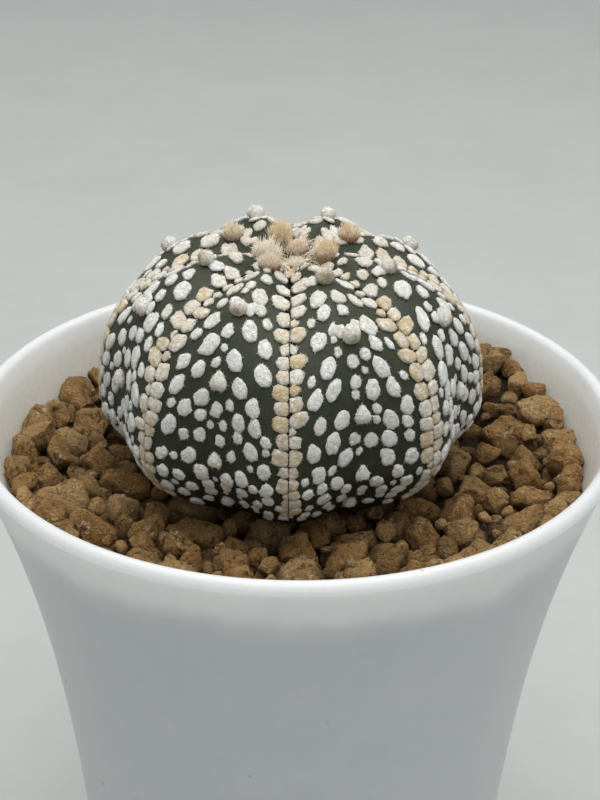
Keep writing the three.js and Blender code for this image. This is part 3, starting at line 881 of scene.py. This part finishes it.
def make_soil_bed(material):
    """The fill that the top granules lie on: a disc whose rings follow the pot's inside, nearly black with
    painted shade.
    """
    profile = [(BED_MIDDLE, FOOT_HEIGHT + FLOOR + SOIL_GAP)]
    profile += [(pot_bore(level) - SOIL_GAP, level) for level in BED_WALL_LEVELS]
    profile += [(radius, BED_TOP) for radius in BED_RINGS]
    bed = start_ring("soil_bed", profile, 96, "TRIFAN")
    bpy.ops.mesh.region_to_loop()
    follow(profile)
    bpy.ops.mesh.merge(type="CENTER")
    face_outwards()
    apply_place(bed)
    places = corners_of(bed) / MM
    top = places[:, 2] > BED_TOP - 0.1
    near_wall = np.clip(off_axis(places[top]) - BED_EDGE, 0, BED_EDGE_WIDTH) / BED_EDGE_WIDTH
    places[top, 2] = soil_top(places[top, 0], places[top, 1]) - BED_DEPTH + BED_EDGE_RISE * near_wall
    limit = pot_bore(places[top, 2]) - SOIL_GAP
    places[top, :2] *= np.minimum(1, limit / np.maximum(1, off_axis(places[top])))[:, None]
    move_corners(bed, places * MM)
    shade_smooth(bed)
    give_look(bed, (0, BED_PAINTED_SHADE))
    finish_piece(bed, material, "clay_granules", "soil")


# ---- Plant ----

def make_body(material):
    """A ball whose corners are moved out to the eight ribs, crowded together at the creases."""
    nothing_selected()
    bpy.ops.mesh.primitive_uv_sphere_add(segments=320, ring_count=150, radius=1)
    body = added("cactus_body")
    places = corners_of(body)
    bearing = np.arctan2(places[:, 0], -places[:, 1])
    bearing = bearing - CREASE_CROWDING * np.sin(RIBS * bearing) / RIBS
    latitude = np.arcsin(np.clip(places[:, 2], -1, 1))
    move_corners(body, body_point(bearing, latitude, True) * MM)
    shade_smooth(body)
    finish_piece(body, material, "cactus_skin", "cactus")


def make_root(material):
    """A tapered peg, drawn up from its blunt tip into the body."""
    neck = POT_HEIGHT + BODY_LEVEL - SEAM_LINE["below"]
    profile = [(radius, neck + level) for radius, level in ROOT_RINGS]
    root = start_ring("cactus_root", profile, 24, "NGON", BODY_X, BODY_Y)
    follow(profile, BODY_X, BODY_Y)
    face_outwards()
    apply_place(root)
    shade_smooth(root)
    finish_piece(root, material, "cactus_skin", "cactus")


def pad_shape(name, outline, draw):
    """A low pad of felt, about a millimetre to each side: its foot, its widest ring, two rings of
    its top, and a middle. Its edge is uneven and frayed."""
    nothing_selected()
    bpy.ops.mesh.primitive_circle_add(vertices=PAD_CORNERS, radius=PAD_FOOT, fill_type="NGON")
    pad = added(name)
    edit_all()
    for rise, grow in PAD_RINGS:
        draw_on(rise, grow)
    bpy.ops.mesh.poke(offset=0.02)
    bpy.ops.mesh.select_all(action="SELECT")
    bpy.ops.object.mode_set(mode="OBJECT")
    places = corners_of(pad)
    first, second = draw.uniform(0, 6.3), draw.uniform(0, 6.3)
    frays = [draw.choice((-0.04, -0.02, 0, 0, 0.02, 0.05)) for _ in range(PAD_CORNERS)]

    def stretch(angle):
        fray = frays[round(angle / TURN * PAD_CORNERS) % PAD_CORNERS]
        waves = 0.03 * math.cos(5 * angle + first) + 0.02 * math.cos(7 * angle + second)
        return outline(angle) + waves + fray

    angles = np.arctan2(places[:, 1], places[:, 0])
    places[:, :2] *= np.array([stretch(angle) for angle in angles])[:, None]
    places[:, 2] += wobble(draw, 0.07, len(places))
    places[:, 2] -= PAD_SINK
    move_corners(pad, places)
    return Shape(pad)


def pointed(angle, at):
    turn = max(0, math.cos(angle - at))
    return 1 + 0.45 * turn ** 6 - 0.12 * turn ** 2


def dent(angle, at, width):
    return math.exp(-(((angle - at) / width) ** 2))


# The outlines that the flecks have. Angle 0 is sideways, and a quarter turn is up.
OUTLINES = {
    "round": lambda a: 1 + 0.03 * math.cos(3 * a + 1),
    "oval": lambda a: 1 + 0.04 * math.cos(2 * a + 0.5) + 0.03 * math.cos(3 * a),
    "bean": lambda a: 1 + 0.04 * math.cos(2 * a) - 0.2 * dent(a, 0, 0.45),
    "notched": lambda a: 1.03 - 0.2 * dent(a, 2.2, 0.35) - 0.12 * dent(a, -0.5, 0.3),
    "lobes": lambda a: 1 + 0.08 * math.cos(3 * a + 1.57),
    "flake": lambda a: pointed(a, TURN / 4 + 0.4) + 0.12 * math.cos(5 * a),
    "teardrop": lambda a: pointed(a, TURN / 4),
    "diamond": lambda a: 0.98 + 0.10 * math.cos(4 * a),
    "block": lambda a: 1.02 - 0.07 * math.cos(4 * a) + 0.02 * math.cos(2 * a),
    "hexagon": lambda a: 1.02 + 0.05 * math.cos(6 * a),
    "slab": lambda a: 1.02 - 0.07 * math.cos(4 * a + 0.4) + 0.05 * math.cos(3 * a),
}


def pad_shapes(draw):
    return {kind: [pad_shape(kind, outline, draw) for _ in range(3)] for kind, outline in OUTLINES.items()}


class Flecks:
    """The flecks set out so far, and how much room they leave at places spread over the body.
    A fleck is a quarter longer than broad, so lengths along the rib count for less."""

    def __init__(self, draw):
        self.rows = []
        self.draw = draw
        spots = [(draw.uniform(-math.pi, math.pi), draw.uniform(-0.95, 1.45)) for _ in range(FLECK_SPOTS)]
        bearing, latitude = np.array(spots).T
        place, _, _, side, reach_side, reach_down = body_frame(bearing, latitude)
        area = reach_side * reach_down
        kept = np.array([draw.random() for _ in spots]) < area / np.percentile(area, 90)
        self.bearing, self.latitude = bearing[kept], latitude[kept]
        self.place, self.side = place[kept], side[kept]
        self.distance = np.interp(-self.latitude, -LATITUDES, travelled_down(SECTOR / 4))
        self.room = np.full(len(self.bearing), 9.0)

    def spread_from(self, place):
        """Each spot's distance from a place, in a fleck's proportions, and the sideways part."""
        away = self.place - place
        across = (away * self.side).sum(1)
        return np.sqrt(across ** 2 + 0.64 * np.maximum(0, (away ** 2).sum(1) - across ** 2)), across

    def take(self, place, radius):
        self.room = np.minimum(self.room, self.spread_from(place)[0] - radius)

    def add(self, kind, bearing, latitude, twist, width, length, tan, radius):
        self.rows.append((kind, bearing, latitude, twist, width, length, tan))
        self.take(body_point(bearing, latitude), radius)

    def fill(self, low, high, gap, loose):
        """Sets flecks at the spots in a drawn order, where their radius fits: tight ones only,
        unless loose. Some grow together in chains."""
        draw = self.draw
        order = list(range(len(self.room)))
        draw.shuffle(order)
        for spot in order:
            distance = self.distance[spot]
            radius = draw.uniform(low, high) * np.interp(distance, *FLECK_GROWTH)
            off_middle = abs((self.bearing[spot] / SECTOR) % 1 - 0.5) * SECTOR
            if off_middle * np.interp(distance, [0, 30, 50], [0, 24, 22]) < 0.9:
                radius *= 0.75
            spare = self.room[spot] - radius - gap - np.interp(distance, [42, FLECKS_END], [0, 0.45])
            if distance > FLECKS_END or spare < 0 or (spare > 0.22 and not loose):
                continue
            self.set_fleck(spot, radius)
            grown = spot
            while grown is not None and draw.random() < np.interp(distance, [10, 30], [0.25, 0.5]):
                grown = self.set_partner(grown, radius, gap)

    def set_fleck(self, spot, radius):
        """A fleck at a spot. The room there was before it is kept, for a partner that touches it."""
        draw = self.draw
        kind = draw.choice(FLECK_KINDS)
        tan = np.interp(self.distance[spot], [8, 14, 22], [0.4, 0.16, 0.0]) + draw.uniform(-0.05, 0.1)
        self.room_before = self.room
        self.add(kind, self.bearing[spot], self.latitude[spot], draw.uniform(-0.5, 0.5),
                 2 * radius * draw.uniform(0.92, 1.08), 2.5 * radius * draw.uniform(0.88, 1.08), tan, radius)

    def set_partner(self, spot, radius, gap):
        """A further fleck that has grown together with the one above it, if it has room. Gives
        its spot."""
        spread, across = self.spread_from(self.place[spot])
        size = radius * self.draw.uniform(0.7, 0.95)
        touching = np.abs(spread - 0.9 * (radius + size)) < 0.12 * radius
        below = (np.abs(across) < 0.55 * radius) & (self.place[:, 2] < self.place[spot][2])
        found = np.flatnonzero(touching & below & (self.room_before > size + 0.8 * gap))
        if not len(found):
            return None
        chosen = int(self.draw.choice(found))
        self.set_fleck(chosen, size)
        return chosen


def set_band(flecks, bearing, hand):
    """Blunt blocks one below the other down one side of a crease, looser near the crown."""
    draw = flecks.draw
    distance = 3.4 + draw.uniform(0, 1) + (0.9 if hand > 0 else 0)
    while distance < BANDS_END:
        high = np.interp(distance, [6, 22], [1, 0])
        low = np.interp(distance, [29, 45], [0, 1])
        width = (draw.uniform(2.0, 3.1) + 0.3 * high - 1.1 * low) * np.interp(distance, [3, 8], [0.55, 1])
        length = draw.uniform(1.9, 2.9) - 0.7 * low
        kind = draw.choice(BAND_KINDS if high < 0.4 else CROWN_BAND_KINDS)
        if draw.random() < 0.3 * high + 0.12:
            kind, width, length = "diamond", 0.55 * width, 0.65 * length
        latitude = latitude_at(bearing, distance + length / 2)
        reach_side = body_frame(bearing, latitude)[4]
        shift = hand * (width / 2 - 0.3 + draw.uniform(-0.06, 0.3 * high + 0.06)) / reach_side
        tan = np.interp(distance, [6, 20, 34, 50], [0.35, 0.5, 0.55, 0.6]) + draw.uniform(-0.25, 0.35)
        twist = draw.uniform(-0.35, 0.35)
        flecks.add(kind, bearing + shift, latitude, twist, width, length, tan, 0.46 * width)
        distance += length * draw.uniform(0.88, 0.98) + 0.9 * high * draw.random()


def plan_flecks(draw):
    """The flecks of the bands and those of the ribs: a row (kind, bearing, latitude, twist, width,
    length, tan share) for each. The knobs keep their room."""
    flecks = Flecks(draw)
    for _, _, bearing, latitude in areole_places():
        flecks.take(body_point(bearing, latitude), KNOB_ROOM)
    for seam in range(RIBS):
        for hand in (-1, 1):
            set_band(flecks, seam * SECTOR, hand)
    bands = len(flecks.rows)
    for low, high, gap in FLECK_ROUNDS:
        for loose in (False, True):
            flecks.fill(low, high, gap, loose)
    return flecks.rows[:bands], flecks.rows[bands:]


def edge_hairs(corners, shape, bearing, latitude, look, draw):
    """Short hairs that stand out sideways from the edge of a fleck."""
    place, out, *_ = body_frame(bearing, latitude)
    edge = np.flatnonzero((off_axis(shape.corners) > 0.85) & (shape.corners[:, 2] > 0.1))
    rows = []
    for _ in range(FLECK_HAIRS):
        at = int(draw.choice(edge))
        way = corners[at] - place
        way = unit(way - out * (way @ out)) + 0.35 * out * draw.uniform(-0.6, 1)
        way = way * draw.uniform(0.12, 0.3)
        curl = wobble(draw, 0.08)
        rows.append((corners[at] - 0.4 * way, way, curl, draw.uniform(0.045, 0.08), look[at], look[at]))
    return rows


def make_flecks(material):
    """The flecks beside the creases are one piece and those of the ribs another. Each has a
    further piece, which is the nap round its flecks' edges."""
    draw = random.Random(12)
    shapes = pad_shapes(draw)
    bands, others = plan_flecks(draw)
    for name, rows in (("band", bands), ("rib", others)):
        copies, nap = [], []
        for kind, bearing, latitude, twist, width, length, tan in rows:
            shape = draw.choice(shapes[kind])
            height = draw.uniform(0.42, 0.6) * min(1, width / 1.6)
            corners = laid_on_body(shape.corners, bearing, latitude, twist,
                                   width / (2 * PAD_RADIUS), length / (2 * PAD_RADIUS), height)
            middle = np.clip(1 - off_axis(shape.corners), 0, 1)
            look = np.stack([np.clip(tan + 0.25 * middle * draw.random(), 0, 1),
                             np.full(len(corners), draw.uniform(0.92, 1.0))], 1)
            copies.append((shape, corners, look))
            nap += edge_hairs(corners, shape, bearing, latitude, look, draw)
        finish_piece(hairs(name + "_nap", nap, ((0, 1), (1, 0.3))), material, "cactus_skin", "cactus")
        finish_piece(set_out(name + "_flecks", copies), material, "cactus_skin", "cactus")


def bead_shape():
    """A plain bead that stands on the skin."""
    nothing_selected()
    bpy.ops.mesh.primitive_uv_sphere_add(segments=16, ring_count=10, radius=1)
    bead = added("felt_bead")
    places = corners_of(bead)
    places[:, 2] = places[:, 2] * KNOB_HEIGHT + KNOB_LEVEL
    move_corners(bead, places)
    return Shape(bead)


def knob_corners(bead, low, draw):
    """The bead's corners (sideways, up, out) as a knob has them: drawn out to a point above, the
    more the lower the knob is, with a hollow low down on its front. Also gives how deep in the
    hollow each corner is."""
    corners = bead.corners.copy()
    rise = np.clip(corners[:, 1], 0, 1)
    corners[:, 0] *= 1 - 0.45 * low * rise ** 1.5
    corners[:, 1] += 0.55 * low * rise ** 2
    front = np.array([0, -0.8, 0.72])
    hollow = np.exp(-(np.linalg.norm(corners - front, axis=1) / 0.48) ** 2)
    corners = corners - 0.4 * hollow[:, None] * unit(front)
    return corners * (1 + wobble(draw, 0.05, len(corners)))[:, None], hollow


def knob_look(corners, low, hollow, brown):
    """A knob is pale above and browner below. It is darker below and in its hollow, which is painted shade;
    in the hollow it deepens the knob's own brown.
    """
    # Painted shade: the lightness falls below the knob and in its hollow.
    below = np.clip(0.6 - corners[:, 1], 0, 1)
    shaded = np.clip(0.7 - corners[:, 1], 0, 1)
    return np.stack([np.clip(0.2 - 0.1 * low + 0.5 * brown * below, 0, 1),
                     0.95 - np.clip(0.24 * brown * shaded + 0.6 * hollow * brown, 0, 0.8)], 1)


def knob_hairs(corners, middle, look, draw):
    """The short nap that softens a knob all over."""
    rows = []
    for _ in range(KNOB_HAIRS):
        at = draw.randrange(len(corners))
        way = unit(corners[at] - middle + wobble(draw, 0.5)) * draw.uniform(0.15, 0.38)
        curl = wobble(draw, 0.12)
        rows.append((corners[at] - 0.2 * way, way, curl, draw.uniform(0.03, 0.05), look[at], look[at]))
    return rows


def petals(flakes, bearing, latitude, distance, radius, draw):
    """Up to two ragged flakes, which lie behind a knob in the upper part like petals."""
    _, out, _, _, reach_side, reach_down = body_frame(bearing, latitude)
    copies = []
    for turn in (-0.8, 0.8):
        if draw.random() < 0.85 and distance < PETALS_END:
            turn = turn + draw.uniform(-0.35, 0.35)
            shape = draw.choice(flakes)
            reach = draw.uniform(1.05, 1.3) * radius
            petal = laid_on_body(shape.corners, bearing + reach * math.sin(turn) / reach_side,
                                 latitude + reach * math.cos(turn) / reach_down, -turn,
                                 draw.uniform(0.7, 0.9), draw.uniform(0.9, 1.15), 0.45)
            lift = np.clip(shape.corners[:, 1], -0.3, 1.2)[:, None] * 0.2 * out
            copies.append((shape, petal + lift, (draw.uniform(0.02, 0.2), 0.97)))
    return copies


def tuft_hairs(place, out, radius, tall, tan, brown, draw):
    """A young areole's wool: fine hairs that stand up close together, browner at the root, and
    shorter and paler round the outside."""
    rows = []
    axis = unit(out + (0, 0, 1.2))
    aside = unit(np.cross(axis, (0.0, 1.0, 0.2)))
    across = np.cross(axis, aside)
    for _ in range(TUFT_HAIRS):
        angle, share = draw.uniform(0, TURN), math.sqrt(draw.random())
        sideways = aside * math.cos(angle) + across * math.sin(angle)
        length = tall * draw.uniform(0.55, 1.0) * (1 - 0.4 * share ** 2)
        way = unit(axis + sideways * 0.3 * share + wobble(draw, 0.16)) * length
        curl = wobble(draw, 0.5) - 0.25 * sideways
        inner = 1 - 0.75 * share ** 3
        rows.append((place + sideways * radius * share - 0.2 * axis, way, curl, draw.uniform(0.03, 0.055),
                     (min(1, tan + 0.3), 1 - brown * draw.uniform(0.6, 1)),
                     (tan * inner * draw.uniform(0.5, 1.0), 1.0)))
    return rows


def crease_hairs(draw):
    """Tan wool that lies in each crease, from below the crown to the soil."""
    rows = []
    for seam in range(RIBS):
        for _ in range(CREASE_HAIRS):
            place, out, down, side, *_ = frame_at(seam * SECTOR, draw.uniform(*CREASE_WOOL))
            way = side * draw.choice((-1, 1)) * draw.uniform(0.4, 1) + down * draw.uniform(-0.8, 0.8)
            way = unit(way + 0.3 * out)
            tan = draw.uniform(0.35, 0.9)
            rows.append((place - 0.35 * out, way * draw.uniform(0.5, 0.95), 0.15 * out, 0.04,
                         (tan, 0.7), (tan, 0.95)))
    return rows


def crown_wool(draw):
    """A thin mat of cream wool that lies on the crown between the tufts."""
    rows = []
    for _ in range(CROWN_HAIRS):
        bearing, distance = draw.uniform(-math.pi, math.pi), CROWN_WOOL_RADIUS * math.sqrt(draw.random())
        place, out, down, side, *_ = frame_at(bearing, distance)
        way = unit(down + side * draw.uniform(-1.4, 1.4) + out * draw.uniform(0, 0.4))
        way = way * draw.uniform(0.5, 1.3)
        tan = draw.uniform(0.05, 0.6)
        thick = draw.uniform(0.04, 0.07)
        rows.append((place + 0.25 * out, way, -0.2 * out, thick, (tan, 0.95), (0.6 * tan, 1)))
    return rows


def make_areoles(material, wool_material):
    """The knobs and their petals are one piece. The wool is another: the crown's tufts and mat,
    the knobs' nap and the wool in the creases."""
    draw = random.Random(5)
    bead = bead_shape()
    flakes = pad_shapes(random.Random(3))["flake"]
    copies, wool = [], []
    for rib, distance, *tuft in TUFTS:
        place, out, *_ = frame_at(rib_bearing(rib), distance)
        wool += tuft_hairs(place, out, *tuft, draw)
    for rib, distance, bearing, latitude in areole_places():
        place, out, down, side, *_ = body_frame(bearing, latitude)
        low = np.interp(distance, [12, 28, 46], [0, 0.85, 1])
        radius = draw.uniform(1.1, 1.3) * np.interp(distance, [12, 36, 46], [1.0, 0.92, 0.75])
        height = np.interp(distance, [14, 40], [1.0, 0.8])
        corners, hollow = knob_corners(bead, low, draw)
        laid = corners[:, :1] * side - corners[:, 1:2] * down + height * corners[:, 2:] * out
        moved = place + radius * laid
        brown = draw.uniform(0.45, 1.1) * (1 - 0.8 * low) * (0.35 if rib in BACK_RIBS else 1)
        look = knob_look(corners, low, hollow, brown)
        copies.append((bead, moved, look))
        wool += knob_hairs(moved, place + 0.5 * radius * out, look, draw)
        copies += petals(flakes, bearing, latitude, distance, radius, draw)
    wool += crease_hairs(draw) + crown_wool(draw)
    finish_piece(hairs("cactus_wool", wool), wool_material, "cactus_skin", "cactus")
    finish_piece(set_out("cactus_areoles", copies), material, "cactus_skin", "cactus")


# ---- The scene ----

def make_floor():
    """A wide plain floor, in metres, with a smaller disc in its middle."""
    nothing_selected()
    bpy.ops.mesh.primitive_circle_add(vertices=96, radius=6, fill_type="NGON")
    floor = added("floor")
    edit_all()
    bpy.ops.mesh.inset(thickness=5.2, depth=0)
    apply_place(floor)
    floor.data.materials.append(floor_material())


def aim(thing, place, way, roll=0.0):
    """Puts a lamp or a camera in the scene, facing along a way."""
    thing.location = place
    thing.rotation_mode = "QUATERNION"
    thing.rotation_quaternion = way.to_track_quat("-Z", "Y") @ Quaternion((0, 0, 1), roll)
    bpy.context.scene.collection.objects.link(thing)


def make_light(name, place, towards, size, power, colour):
    light = bpy.data.lights.new(name, "AREA")
    light.shape, light.size, light.energy, light.color = "DISK", size, power, colour
    aim(bpy.data.objects.new(name, light), place, Vector(towards) - Vector(place))


def make_studio():
    """A dim even room and two broad soft lights, in metres: one overhead and one at the front."""
    scene = bpy.context.scene
    scene.view_settings.view_transform = "Standard"
    world = bpy.data.worlds.new("soft_room")
    world.use_nodes = True
    background = world.node_tree.nodes["Background"].inputs
    background["Color"].default_value = (0.90, 0.95, 1.0, 1)
    background["Strength"].default_value = 0.35
    scene.world = world
    make_light("overhead", place=(0.03, 0.05, 0.74), towards=(0, 0, 0.09),
               size=0.95, power=6.8, colour=(1.0, 0.985, 0.955))
    make_light("front_fill", place=(0.15, -0.9, 0.75), towards=(0, 0, 0.06),
               size=0.8, power=1.6, colour=(0.97, 0.985, 1.0))


def make_camera():
    """The camera looks down at the rim from the front, as in the photograph."""
    elevation, distance, target = math.radians(27.58), 249.1, Vector((0.66, 0, 93.07))
    back = Vector((0, -math.cos(elevation), math.sin(elevation)))
    lens = bpy.data.cameras.new("camera")
    lens.lens = 81
    lens.clip_start = 0.01
    camera = bpy.data.objects.new("camera", lens)
    aim(camera, (target + back * distance) * MM, -back, roll=math.radians(0.56))
    bpy.context.scene.camera = camera


make_camera()
make_studio()
make_floor()
skin = skin_material()
white_felt = felt_material("white_felt", linear(253, 254, 250), linear(226, 203, 158),
                           linear(122, 96, 72), 0.75)
wool = felt_material("wool", linear(250, 243, 228), linear(224, 188, 124), linear(150, 94, 48), 0.15)
clay = clay_material("baked_clay", linear(238, 202, 146), linear(194, 149, 91), linear(138, 101, 56))
make_pot(pot_material())
make_soil_bed(clay)
make_granules(clay)
make_body(skin)
make_root(skin)
make_flecks(white_felt)
make_areoles(white_felt, wool)
